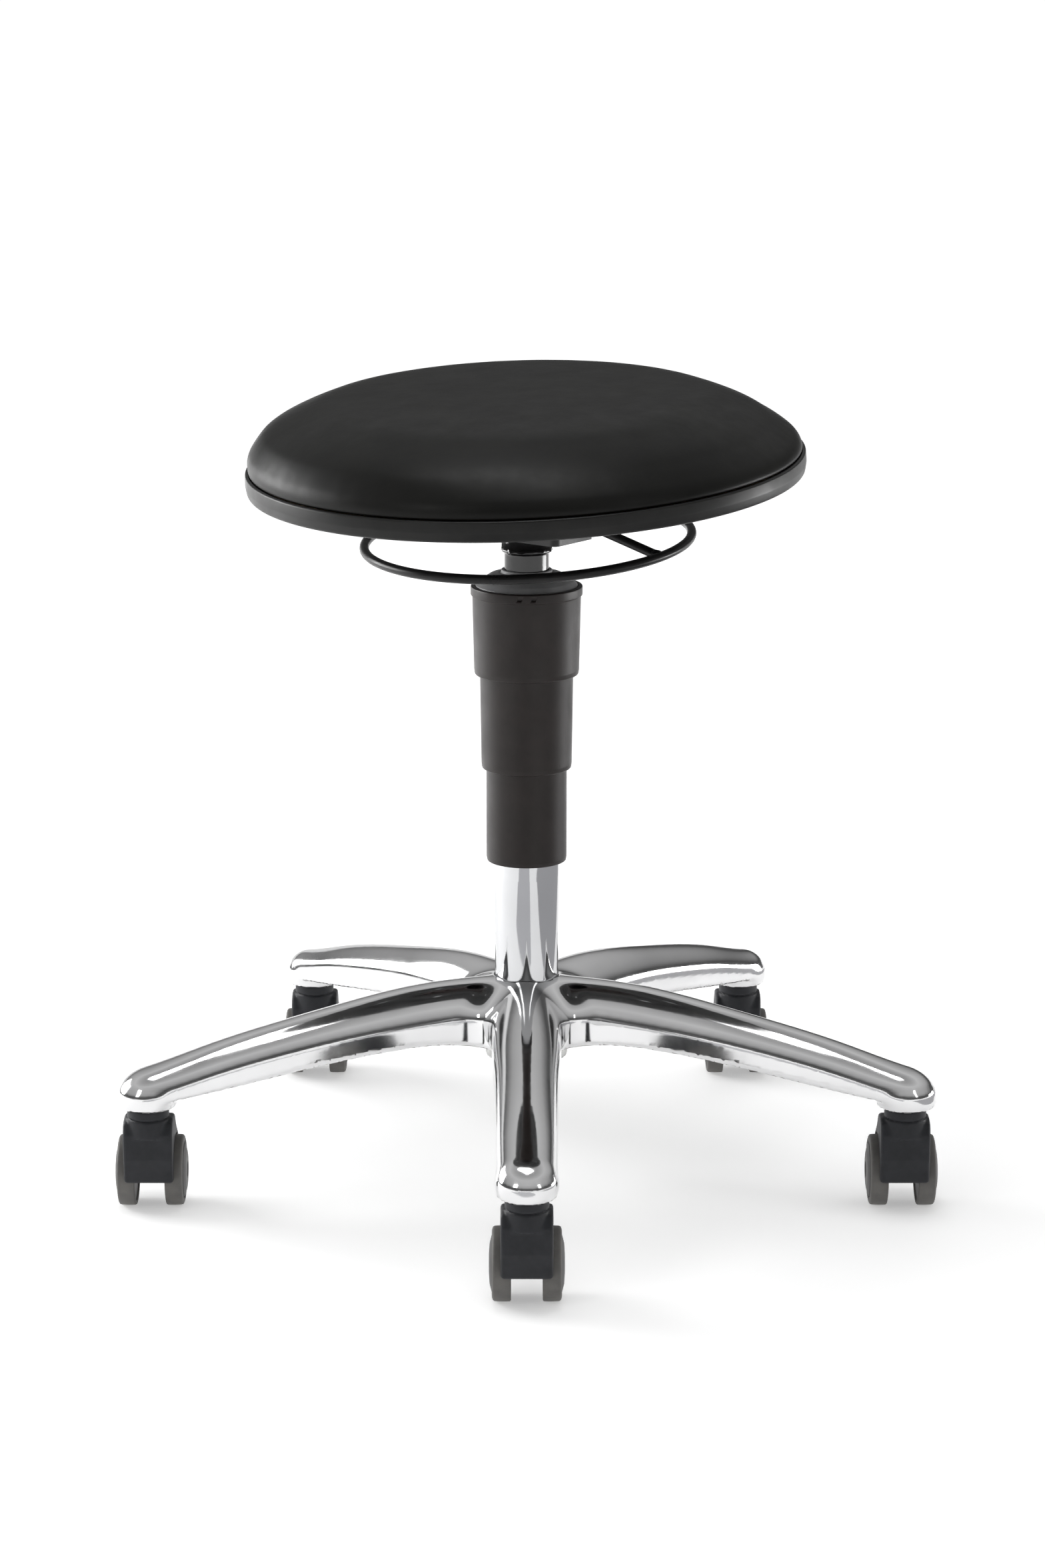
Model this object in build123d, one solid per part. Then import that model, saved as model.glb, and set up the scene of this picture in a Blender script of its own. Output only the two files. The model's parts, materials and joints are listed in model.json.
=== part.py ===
from build123d import *
import os
from math import cos, radians, sin

# Adjustable swivel stool: padded round seat, ring release, gas column in a telescopic cover,
# polished five-leg base on twin-wheel casters.
# Millimetres, +Z up. Origin on the floor under the column axis; the front leg points along -Y.

os.makedirs("parts", exist_ok=True)

# ---- base ----
LEG_COUNT = 5
FRONT_AZIMUTH = -90.0
STEM_CIRCLE_R = 288.5
LEG_TIP_R = 20.8
TIP_BOSS_BOTTOM = 82.0
LEG_WALL = 4.5
RIB = 3.5
RIB_RADII = (118.0, 176.0, 230.0)
HOLLOW_START, HOLLOW_END = 52.0, 262.0
# Distance from the column, half width, underside, shoulder and crest of the leg's section.
LEG_STATIONS = (
    (18.0, 27.0, 108.0, 137.0, 156.5),
    (60.0, 25.6, 112.5, 136.0, 155.8),
    (100.0, 24.9, 112.0, 133.5, 152.0),
    (150.0, 22.9, 108.5, 128.5, 143.0),
    (200.0, 21.8, 100.5, 119.5, 133.0),
    (250.0, 21.2, 92.5, 108.5, 120.5),
    (290.0, 20.9, 86.0, 97.0, 107.5),
    (313.0, 20.9, 84.0, 91.0, 96.0),
)
HUB_R, HUB_BOTTOM, HUB_TOP = 47.0, 108.0, 156.0
HUB_BOSS_R, HUB_BOSS_BOTTOM = 31.0, 94.0
SOCKET_R, SOCKET_DEPTH = 6.4, 19.0
GRIP_RING_H = 6.0

# ---- casters ----
TRAIL, WHEEL_R = 22.0, 26.0
WHEEL_GAP, WHEEL_OUTER = 10.8, 26.25
HOOD_HALF_W, WEB_HALF_W = 18.0, 9.8
WHEEL_WELL_R, FENDER_R = 27.0, 30.0
HOOD_TOP, NECK_R, NECK_TOP = 73.0, 15.25, 81.6
STEM_R, STEM_BOTTOM, STEM_TOP = 5.5, 52.0, 100.5
AXLE_R, AXLE_HALF = 3.0, 22.6
RUN = 0.05

# ---- column ----
TUBE_R, TUBE_FOOT_R, TUBE_WALL = 24.0, 22.4, 1.6
TUBE_FOOT, TUBE_TAPER_END, TUBE_TOP, TUBE_FLOOR = 60.0, 232.0, 318.0, 3.0
BUSH_BOTTOM, BUSH_FLANGE = 240.0, 2.0
GAS_R, GAS_BORE_R, GAS_BOTTOM = 14.0, 12.5, 230.0
CONE_START, CONE_END, CONE_END_R, GAS_CAP_H = 446.0, 478.0, 13.2, 8.0
ROD_R, ROD_FOOT, ROD_TOP = 5.0, 54.0, 262.0
PISTON_BOTTOM, PISTON_H = 250.0, 8.0
BALL_R, BALL_PITCH_R, BALL_COUNT = 2.5, 9.5, 8
WASHER_H, WASHER_R = 1.5, 13.0
COLLAR_R, COLLAR_H, BUMP_H = 9.0, 2.0, 17.0
CLIP_TOP, CLIP_H, CLIP_R = 59.7, 1.4, 8.5
VALVE_BOTTOM, PIN_R, PIN_BOTTOM, PIN_TOP = 440.0, 3.0, 456.0, 488.7

# ---- telescopic cover ----
COVER_WALL, LIP_H, HANG_GAP = 1.5, 2.0, 0.3
LOWER_R, LOWER_BOTTOM = 29.45, 243.5
MIDDLE_R, MIDDLE_TOP_R, MIDDLE_BOTTOM = 33.0, 34.0, 313.0
UPPER_R, UPPER_TOP_R, UPPER_BOTTOM = 38.15, 39.5, 383.0
RIM_R, RIM_BOTTOM, RIM_TOP = 40.65, 441.5, 448.5
CAP_R, CAP_PEAK, CAP_COLLAR_R, CAP_COLLAR_TOP = 37.3, 458.0, 18.5, 460.5

# ---- release ----
BAR_AZIMUTH = -38.0
NECK_TUBE_R, NECK_TUBE_BOTTOM = 16.15, 452.0
COLLAR_TUBE_R, COLLAR_TUBE_BOTTOM = 18.25, 473.5
HOUSING_L, HOUSING_W, HOUSING_BOTTOM, HOUSING_TOP, SHEET = 88.0, 46.0, 484.0, 520.0, 2.5
BAR_Z, BAR_BEND, BAR_BEND_R = 500.0, 50.0, 20.0
ROD_RING_R, RING_R, RING_Z, RING_ROLL = 3.5, 118.5, 482.0, 4.5
FULCRUM_X, FULCRUM_Z, FULCRUM_R = 34.0, 491.5, 2.0
ROCKER_BACK, ROCKER_FRONT, ROCKER_W = -24.0, 39.5, 14.0
ROCKER_BOTTOM, ROCKER_TOP, PAD_R = 492.5, 505.0, 5.0

# ---- seat ----
SEAT_TILT, PIVOT_Z, TILT_PIN_R = 4.2, 516.0, 1.8
LUG_NEAR, LUG_FAR, LUG_HALF_W, LUG_FOOT = 30.0, 38.0, 4.5, 5.0
PLATE_L, PLATE_W, PLATE_BOTTOM, PLATE_H = 190.0, 150.0, 524.0, 3.0
SCREW_X, SCREW_Y, SCREW_R = 80.0, 60.0, 3.0
BOARD_R, BOARD_H = 197.0, 12.0
BAND_R, BAND_TOP = 202.0, 542.0
CUSHION_R, CUSHION_BOTTOM = 201.0, 542.4
# Radius and turn, in degrees, of the arcs that carry the edge over to the nearly flat middle.
CROWN_ARCS = ((20.0, 37.0), (70.0, 26.0), (121.0, 23.5))
COVER_SKIN = 1.5


def save(shape, name):
    export_step(shape, f"parts/{name}.step")


def turned(*points):
    """Solid of revolution about Z from (radius, height) corners."""
    return revolve(Plane.XZ * make_face(Polyline(*points, close=True)), Axis.Z)


def disc(radius, low, high):
    return Pos(0, 0, low) * extrude(Circle(radius), high - low)


def ring(inner, outer, low, high):
    return Pos(0, 0, low) * extrude(Circle(outer) - Circle(inner), high - low)


def block(x, y, z):
    """Box between (low, high) pairs."""
    centre = [(low + high) / 2 for low, high in (x, y, z)]
    return Pos(*centre) * Box(x[1] - x[0], y[1] - y[0], z[1] - z[0])


def rod_along(axis_rotation, centre, radius, length):
    return Pos(*centre) * axis_rotation * Cylinder(radius, length)


ALONG_X = Rot(0, 90, 0)
ALONG_Y = Rot(90, 0, 0)
AZIMUTHS = [FRONT_AZIMUTH + 360.0 / LEG_COUNT * i for i in range(LEG_COUNT)]
STEMS = [(STEM_CIRCLE_R * cos(radians(a)), STEM_CIRCLE_R * sin(radians(a))) for a in AZIMUTHS]


# ---- star base ----
def leg_section(r, half_width, bottom, shoulder, crest):
    plane = Plane(origin=(r, 0, 0), x_dir=(0, 1, 0), z_dir=(1, 0, 0))
    corners = ((half_width, shoulder), (half_width, bottom), (-half_width, bottom), (-half_width, shoulder))
    box = Polyline(*corners)
    crown = ThreePointArc((-half_width, shoulder), (0, crest), (half_width, shoulder))
    return plane * make_face(box + crown)


def leg_at(r):
    """Section sizes between two stations."""
    pairs = list(zip(LEG_STATIONS, LEG_STATIONS[1:]))
    near, far = next(pair for pair in pairs if pair[0][0] <= r <= pair[1][0])
    t = (r - near[0]) / (far[0] - near[0])
    return [a + (b - a) * t for a, b in zip(near, far)]


def hollow_section(r):
    _, half_width, bottom, shoulder, crest = leg_at(r)
    return leg_section(r, half_width - LEG_WALL, bottom - LEG_WALL, shoulder - LEG_WALL, crest - LEG_WALL)


def leg():
    body = loft([leg_section(*station) for station in LEG_STATIONS])
    plan = Rectangle(STEM_CIRCLE_R, 4 * LEG_TIP_R, align=(Align.MIN, Align.CENTER))
    plan += Pos(STEM_CIRCLE_R, 0) * Circle(LEG_TIP_R)
    body &= extrude(plan, CUSHION_BOTTOM)
    body += Pos(STEM_CIRCLE_R, 0, 0) * disc(LEG_TIP_R, TIP_BOSS_BOTTOM, TIP_BOSS_BOTTOM + LEG_WALL * 3)
    walls = [HOLLOW_START, *RIB_RADII, HOLLOW_END]
    for near, far in zip(walls, walls[1:]):
        bay = (near + RIB / 2, (near + far) / 2, far - RIB / 2)
        body -= loft([hollow_section(r) for r in bay], ruled=True)
    return body


def star_base():
    shoulder = HUB_TOP - 18
    hub = turned((0, HUB_BOTTOM), (HUB_R, HUB_BOTTOM), (HUB_R, shoulder), (HUB_BOSS_R, HUB_TOP), (0, HUB_TOP))
    body = hub
    one_leg = leg()
    for azimuth in AZIMUTHS:
        body += Rot(0, 0, azimuth) * one_leg
    body -= ring(HUB_BOSS_R, HUB_R - LEG_WALL, HUB_BOTTOM - 1, shoulder - LEG_WALL)
    body += disc(HUB_BOSS_R, HUB_BOSS_BOTTOM, HUB_TOP)
    body -= stand_tube_envelope()
    for x, y in STEMS:
        body -= Pos(x, y) * disc(SOCKET_R, TIP_BOSS_BOTTOM - 1, TIP_BOSS_BOTTOM + SOCKET_DEPTH)
    return body


def stem_grip_rings():
    low = TIP_BOSS_BOTTOM + SOCKET_DEPTH / 2
    one = ring(STEM_R + RUN, SOCKET_R, low, low + GRIP_RING_H)
    return Compound(children=[Pos(x, y) * one for x, y in STEMS])


# ---- column ----
def stand_tube_envelope():
    return turned(
        (0, TUBE_FOOT), (TUBE_FOOT_R, TUBE_FOOT), (TUBE_R, TUBE_TAPER_END), (TUBE_R, TUBE_TOP), (0, TUBE_TOP)
    )


def stand_tube():
    inner_foot, inner = TUBE_FOOT_R - TUBE_WALL, TUBE_R - TUBE_WALL
    floor = TUBE_FOOT + TUBE_FLOOR
    bore = turned((0, floor), (inner_foot, floor), (inner, TUBE_TAPER_END), (inner, TUBE_TOP), (0, TUBE_TOP))
    return stand_tube_envelope() - bore - disc(ROD_R, TUBE_FOOT, floor)


def guide_bush():
    bore = GAS_R + RUN
    sleeve = ring(bore, TUBE_R - TUBE_WALL, BUSH_BOTTOM, TUBE_TOP)
    return sleeve + ring(bore, TUBE_R, TUBE_TOP, TUBE_TOP + BUSH_FLANGE)


BEARING_BOTTOM = TUBE_FOOT + TUBE_FLOOR + RUN
BALL_Z = BEARING_BOTTOM + WASHER_H + BALL_R
BEARING_TOP = BALL_Z + BALL_R + WASHER_H


def balls(radius):
    places = PolarLocations(BALL_PITCH_R, BALL_COUNT)
    return [Pos(0, 0, BALL_Z) * place * Sphere(radius) for place in places]


def thrust_washers():
    low = ring(ROD_R, WASHER_R, BEARING_BOTTOM, BEARING_BOTTOM + WASHER_H)
    high = ring(ROD_R, WASHER_R, BEARING_TOP - WASHER_H, BEARING_TOP)
    return Compound(children=[low, high])


def ball_cage():
    cage = ring(ROD_R + 1, WASHER_R, BALL_Z - 1, BALL_Z + 1)
    for ball in balls(BALL_R + RUN):
        cage -= ball
    return cage


def piston_rod():
    journal = disc(ROD_R - RUN, ROD_FOOT, BEARING_TOP)
    rod = journal + disc(ROD_R, BEARING_TOP, ROD_TOP)
    rod += disc(COLLAR_R, BEARING_TOP, BEARING_TOP + COLLAR_H)
    return rod - ring(ROD_R - 1, ROD_R + 1, CLIP_TOP - CLIP_H, CLIP_TOP)


def retaining_clip():
    clip = ring(ROD_R - 1, CLIP_R, CLIP_TOP - CLIP_H, CLIP_TOP)
    return clip - block((0, CLIP_R + 1), (-2.5, 2.5), (TUBE_FOOT - 5, TUBE_FOOT))


def gas_cylinder():
    body = turned(
        (0, GAS_BOTTOM), (GAS_R, GAS_BOTTOM), (GAS_R, CONE_START), (CONE_END_R, CONE_END), (0, CONE_END)
    )
    rolled_edge = GAS_BOTTOM + 1.5
    body -= disc(GAS_BORE_R, rolled_edge, CONE_END - GAS_CAP_H)
    body -= disc(GAS_BORE_R - 4, GAS_BOTTOM, rolled_edge)
    return body - disc(PIN_R + RUN, CONE_END - GAS_CAP_H, CONE_END)


def column_parts():
    yield "stand_tube", stand_tube()
    yield "guide_bush", guide_bush()
    yield "thrust_washers", thrust_washers()
    yield "bearing_balls", Compound(children=balls(BALL_R))
    yield "ball_cage", ball_cage()
    yield "piston_rod", piston_rod()
    yield "retaining_clip", retaining_clip()
    yield "bump_stop", ring(ROD_R, COLLAR_R + 2, BEARING_TOP + COLLAR_H, BEARING_TOP + COLLAR_H + BUMP_H)
    yield "piston", ring(ROD_R, GAS_BORE_R - RUN, PISTON_BOTTOM, PISTON_BOTTOM + PISTON_H)
    yield "gas_cylinder", gas_cylinder()
    yield "rod_guide", ring(ROD_R + RUN, GAS_BORE_R, GAS_BOTTOM + 1.5, PISTON_BOTTOM - 4)
    yield "valve_body", ring(PIN_R + RUN, GAS_BORE_R, VALVE_BOTTOM, CONE_END - GAS_CAP_H)
    yield "valve_pin", disc(PIN_R, PIN_BOTTOM, PIN_TOP)


# ---- telescopic cover: each section hangs by its top flange on the lip of the one outside it ----
def cover_lower():
    top = MIDDLE_BOTTOM + LIP_H + HANG_GAP + LIP_H
    sleeve = ring(LOWER_R - COVER_WALL, LOWER_R, LOWER_BOTTOM, top)
    sleeve = fillet(sleeve.edges().group_by(Axis.Z)[0].sort_by(SortBy.LENGTH)[-1], COVER_WALL * 0.8)
    return sleeve + ring(LOWER_R - COVER_WALL, MIDDLE_R - COVER_WALL - HANG_GAP, top - LIP_H, top)


def cover_section(foot_r, top_r, bottom, top, lip_r):
    """Conical sleeve with an inward lip at its foot."""
    return turned(
        (lip_r, bottom), (foot_r - 1, bottom), (foot_r, bottom + 1.4), (top_r, top),
        (top_r - COVER_WALL, top), (foot_r - COVER_WALL, bottom + LIP_H), (lip_r, bottom + LIP_H),
    )


def cover_middle():
    top = UPPER_BOTTOM + LIP_H + HANG_GAP + LIP_H
    body = cover_section(MIDDLE_R, MIDDLE_TOP_R, MIDDLE_BOTTOM, top, LOWER_R + HANG_GAP)
    return body + ring(MIDDLE_TOP_R - COVER_WALL, UPPER_R - COVER_WALL - HANG_GAP, top - LIP_H, top)


def cover_upper():
    body = cover_section(UPPER_R, UPPER_TOP_R, UPPER_BOTTOM, RIM_TOP, MIDDLE_TOP_R + HANG_GAP)
    body += ring(UPPER_TOP_R - COVER_WALL, RIM_R, RIM_BOTTOM, RIM_TOP)
    ledge_top = RIM_TOP - 4
    body += ring(CAP_R - 2, UPPER_TOP_R - COVER_WALL, ledge_top - LIP_H, ledge_top)
    for x in (-5.0, 5.0):
        body -= block((x - 1.5, x + 1.5), (-RIM_R - 1, -RIM_R + 1.2), (RIM_TOP - 4.5, RIM_TOP - 3))
    return body


def cover_cap():
    ledge_top = RIM_TOP - 4
    return turned(
        (CAP_R, ledge_top), (CAP_R, RIM_TOP + 0.5), (25, CAP_PEAK), (CAP_COLLAR_R, CAP_PEAK),
        (CAP_COLLAR_R, CAP_COLLAR_TOP), (NECK_TUBE_R, CAP_COLLAR_TOP), (NECK_TUBE_R, CAP_PEAK - 2.5),
        (24.5, CAP_PEAK - 2.5), (CAP_R - 2, RIM_TOP - 1.5), (CAP_R - 2, ledge_top),
    )


# ---- seat mechanism ----
BAR_FRAME = Rot(0, 0, BAR_AZIMUTH)


def cone_socket():
    slope = (GAS_R - CONE_END_R) / (CONE_END - CONE_START)
    mouth = GAS_R - slope * (NECK_TUBE_BOTTOM - CONE_START)
    return turned(
        (mouth, NECK_TUBE_BOTTOM), (NECK_TUBE_R, NECK_TUBE_BOTTOM), (NECK_TUBE_R, COLLAR_TUBE_BOTTOM),
        (COLLAR_TUBE_R, COLLAR_TUBE_BOTTOM), (COLLAR_TUBE_R, HOUSING_BOTTOM),
        (CONE_END_R, HOUSING_BOTTOM), (CONE_END_R, CONE_END),
    )


def release_housing():
    half_l, half_w = HOUSING_L / 2, HOUSING_W / 2
    inner_l, inner_w = half_l - SHEET, half_w - SHEET
    shell = block((-half_l, half_l), (-half_w, half_w), (HOUSING_BOTTOM, HOUSING_TOP))
    shell = fillet(shell.edges().filter_by(Axis.Z), SHEET * 2)
    shell -= block((-inner_l, inner_l), (-inner_w, inner_w), (HOUSING_BOTTOM + SHEET, HOUSING_TOP))
    shell -= disc(CONE_END_R, HOUSING_BOTTOM, HOUSING_BOTTOM + SHEET)
    shell -= block((-half_l, half_l), (-5, 5), (BAR_Z - 11, BAR_Z + 6))
    shell -= rod_along(ALONG_Y, (FULCRUM_X, 0, FULCRUM_Z), FULCRUM_R, HOUSING_W)
    shell -= rod_along(ALONG_X, (0, 0, PIVOT_Z), TILT_PIN_R, HOUSING_L)
    return BAR_FRAME * shell


def release_rocker():
    half_w = ROCKER_W / 2
    body = block((ROCKER_BACK, ROCKER_FRONT), (-half_w, half_w), (ROCKER_BOTTOM, ROCKER_TOP))
    body += disc(PAD_R, PIN_TOP + HANG_GAP, ROCKER_BOTTOM)
    body += rod_along(ALONG_Y, (FULCRUM_X, 0, FULCRUM_Z), FULCRUM_R * 2.1, ROCKER_W)
    body -= rod_along(ALONG_Y, (FULCRUM_X, 0, FULCRUM_Z), FULCRUM_R + RUN, ROCKER_W)
    body -= rod_along(ALONG_X, (0, 0, BAR_Z), ROD_RING_R + RUN, HOUSING_L * 2)
    return BAR_FRAME * body


def hanging(shape):
    """Level ring assembly rolled about its cross bar, as it hangs at rest."""
    return BAR_FRAME * Pos(0, 0, BAR_Z) * Rot(RING_ROLL, 0, 0) * Pos(0, 0, -BAR_Z) * shape


def level_ring():
    return Pos(0, 0, RING_Z) * Torus(RING_R, ROD_RING_R)


def level_crossbar():
    ends = (-RING_R, -BAR_BEND, BAR_BEND, RING_R)
    heights = (RING_Z, BAR_Z, BAR_Z, RING_Z)
    points = [(x, 0, z) for x, z in zip(ends, heights)]
    path = FilletPolyline(*points, radius=BAR_BEND_R)
    start = Plane(origin=path @ 0, z_dir=path % 0)
    return sweep(start * Circle(ROD_RING_R), path=path) - level_ring()


def mechanism_parts():
    pin = rod_along(ALONG_Y, (FULCRUM_X, 0, FULCRUM_Z), FULCRUM_R, HOUSING_W)
    yield "cone_socket", cone_socket()
    yield "release_housing", release_housing()
    yield "release_rocker", release_rocker()
    yield "rocker_pin", BAR_FRAME * pin
    yield "tilt_pin", BAR_FRAME * rod_along(ALONG_X, (0, 0, PIVOT_Z), TILT_PIN_R, HOUSING_L)
    yield "release_ring", hanging(level_ring())
    yield "ring_crossbar", hanging(level_crossbar())


# ---- seat ----
def seated(shape):
    """Level seat part tilted about its pin, as it stands at rest."""
    return BAR_FRAME * Pos(0, 0, PIVOT_Z) * Rot(SEAT_TILT, 0, 0) * Pos(0, 0, -PIVOT_Z) * shape


def crown(inset):
    """Cushion body inside its outline by the given inset: tangent arcs from the edge to the middle."""
    reach, outline = CUSHION_R - inset, []
    start, heading = (reach, 0), (0, 1)
    for radius, turn in CROWN_ARCS:
        outline.append(JernArc(start, heading, radius - inset, turn))
        start, heading = outline[-1] @ 1, outline[-1] % 1
    last_turn = 90 - sum(turn for _, turn in CROWN_ARCS)
    outline.append(JernArc(start, heading, start.X / sin(radians(last_turn)), last_turn))
    top = (0, (outline[-1] @ 1).Y)
    flat = Polyline(top, (0, 0), (reach, 0))
    return Pos(0, 0, CUSHION_BOTTOM) * revolve(Plane.XZ * make_face(Curve() + outline + flat), Axis.Z)


def screw_places():
    return [Pos(x, y) for x in (-SCREW_X, SCREW_X) for y in (-SCREW_Y, SCREW_Y)]


def seat_parts():
    board_bottom = PLATE_BOTTOM + PLATE_H
    board_top = board_bottom + BOARD_H
    nut_r, flange_r, flange_h = SCREW_R + 1, 9.0, 1.2
    plate = Pos(0, 0, PLATE_BOTTOM) * extrude(RectangleRounded(PLATE_L, PLATE_W, 14), PLATE_H)
    for near, far in ((LUG_NEAR, LUG_FAR), (-LUG_FAR, -LUG_NEAR)):
        plate += block((near, far), (-LUG_HALF_W, LUG_HALF_W), (PIVOT_Z - LUG_FOOT, PLATE_BOTTOM))
    plate -= rod_along(ALONG_X, (0, 0, PIVOT_Z), TILT_PIN_R + RUN, HOUSING_L)
    board = disc(BOARD_R, board_bottom, board_top)
    screw = disc(SCREW_R * 2, PLATE_BOTTOM - 3.5, PLATE_BOTTOM) + disc(SCREW_R, PLATE_BOTTOM, board_top)
    barrel = ring(SCREW_R, nut_r, board_bottom, board_top)
    nut = barrel + ring(SCREW_R, flange_r, board_top - flange_h, board_top)
    nut_room = disc(nut_r, board_bottom, board_top) + disc(flange_r, board_top - flange_h, board_top)
    for place in screw_places():
        plate -= place * disc(SCREW_R, PLATE_BOTTOM, board_bottom)
        board -= place * nut_room
    foam = disc(BOARD_R, board_top, CUSHION_BOTTOM) + crown(COVER_SKIN)
    band = turned(
        (BOARD_R, board_bottom), (BAND_R - 3.5, board_bottom), (BAND_R - 1, board_bottom + 1),
        (BAND_R, board_bottom + 4), (BAND_R, BAND_TOP - 3), (BAND_R - 1.2, BAND_TOP), (BOARD_R, BAND_TOP),
    )
    yield "seat_plate", plate
    yield "seat_board", board
    yield "seat_screws", Compound([place * screw for place in screw_places()])
    yield "t_nuts", Compound([place * nut for place in screw_places()])
    yield "seat_band", band
    yield "seat_foam", foam
    yield "seat_cover", crown(0) - foam


# ---- casters, all trailing towards +Y ----
def hood():
    axle_y, axle_z = TRAIL, WHEEL_R
    plane = Plane(origin=(0, 0, 0), x_dir=(0, 1, 0), z_dir=(1, 0, 0))
    rear = [(axle_y + FENDER_R * cos(radians(a)), axle_z + FENDER_R * sin(radians(a))) for a in (62, 35, 8)]
    side = Polyline(
        (-8, 27), (-11, 44), (-11, 65), (-8.5, 71), (-3, HOOD_TOP), (13, HOOD_TOP), (20, 71), rear[0]
    )
    fender = ThreePointArc(*rear)
    underside = ((axle_y + 9, axle_z - 6.5), (axle_y, axle_z - 8), (axle_y - 9, axle_z - 6.5))
    web = Polyline(rear[2], *underside, (-8, 27))
    body = extrude(plane * make_face(side + fender + web), HOOD_HALF_W, both=True)
    for side_sign in (-1, 1):
        middle = side_sign * (WEB_HALF_W + WHEEL_OUTER) / 2
        body -= rod_along(ALONG_X, (middle, axle_y, axle_z), WHEEL_WELL_R, WHEEL_OUTER - WEB_HALF_W)
    body += disc(NECK_R, HOOD_TOP - 4, NECK_TOP)
    body -= disc(STEM_R, STEM_BOTTOM, NECK_TOP)
    return body - rod_along(ALONG_X, (0, axle_y, axle_z), AXLE_R, 2 * HOOD_HALF_W)


def wheel(side_sign):
    tread_out = WHEEL_OUTER - 2.5
    outline = Polyline(
        (AXLE_HALF + 0.4, 0), (WHEEL_OUTER, 0), (WHEEL_OUTER, 10), (tread_out + 0.4, 19.2),
        (tread_out - 0.9, 20), (tread_out - 0.9, 21), (tread_out, 21.5), (tread_out, WHEEL_R - 1.4),
        (tread_out - 1.4, WHEEL_R), (WHEEL_GAP + 1.4, WHEEL_R), (WHEEL_GAP, WHEEL_R - 1.4),
        (WHEEL_GAP, AXLE_R + RUN), (AXLE_HALF + 0.4, AXLE_R + RUN), close=True,
    )
    body = Pos(0, TRAIL, WHEEL_R) * revolve(make_face(outline), Axis.X)
    return body if side_sign > 0 else mirror(body, Plane.YZ)


def caster_parts():
    stem = chamfer(disc(STEM_R, STEM_BOTTOM, STEM_TOP).edges().group_by(Axis.Z)[-1], 1)
    yield "caster_hood", hood()
    yield "caster_stem", stem
    yield "caster_axle", rod_along(ALONG_X, (0, TRAIL, WHEEL_R), AXLE_R, 2 * AXLE_HALF)
    yield "wheel_left", wheel(-1)
    yield "wheel_right", wheel(1)


save(star_base(), "star_base")
save(stem_grip_rings(), "stem_grip_rings")
save(cover_lower(), "cover_lower")
save(cover_middle(), "cover_middle")
save(cover_upper(), "cover_upper")
save(cover_cap(), "cover_cap")
for parts in (column_parts, mechanism_parts):
    for name, shape in parts():
        save(shape, name)
for name, shape in seat_parts():
    save(seated(shape), name)
for name, shape in caster_parts():
    for number, (x, y) in enumerate(STEMS, start=1):
        save(Pos(x, y) * shape, f"{name}_{number}")
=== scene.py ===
import json
from math import cos, pi, radians, sin

import bmesh
import bpy
import numpy as np
from mathutils import Matrix, Vector, noise
from mathutils.kdtree import KDTree


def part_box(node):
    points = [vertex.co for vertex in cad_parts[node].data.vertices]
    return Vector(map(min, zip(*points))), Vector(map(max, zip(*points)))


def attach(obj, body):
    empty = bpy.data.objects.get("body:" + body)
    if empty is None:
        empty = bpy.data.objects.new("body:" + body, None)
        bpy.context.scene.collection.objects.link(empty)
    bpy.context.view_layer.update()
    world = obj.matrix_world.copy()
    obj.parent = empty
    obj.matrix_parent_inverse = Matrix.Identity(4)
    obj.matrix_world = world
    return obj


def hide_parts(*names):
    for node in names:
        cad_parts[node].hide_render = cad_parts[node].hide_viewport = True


# Looks of the adjustable swivel stool. Objects are in metres, in the CAD frame. Outlines, fields and
# most named sizes are in millimetres.

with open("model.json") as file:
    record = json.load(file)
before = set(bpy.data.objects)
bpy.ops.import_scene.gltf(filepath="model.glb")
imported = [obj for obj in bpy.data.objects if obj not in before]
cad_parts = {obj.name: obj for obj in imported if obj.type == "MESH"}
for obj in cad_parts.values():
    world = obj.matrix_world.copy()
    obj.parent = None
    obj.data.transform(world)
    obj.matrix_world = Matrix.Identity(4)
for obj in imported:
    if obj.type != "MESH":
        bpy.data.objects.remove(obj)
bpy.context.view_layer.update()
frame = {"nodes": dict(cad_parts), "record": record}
NODES = frame["nodes"]
MM = 0.001


# =============================================================== places read from the frame
def low(node):
    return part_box(node)[0]


def high(node):
    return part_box(node)[1]


def radius_of(node):
    return (high(node).x - low(node).x) / 2


def axis_of(node):
    corner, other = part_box(node)
    return Vector(((corner.x + other.x) / 2, (corner.y + other.y) / 2, 0))


LEGS = 5
LEG_TURN = 2 * pi / LEGS
FRONT = -pi / 2
STEM_PLACES = [axis_of(f"caster_stem_{i + 1}") for i in range(LEGS)]
STEM_CIRCLE = STEM_PLACES[0].length


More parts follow.
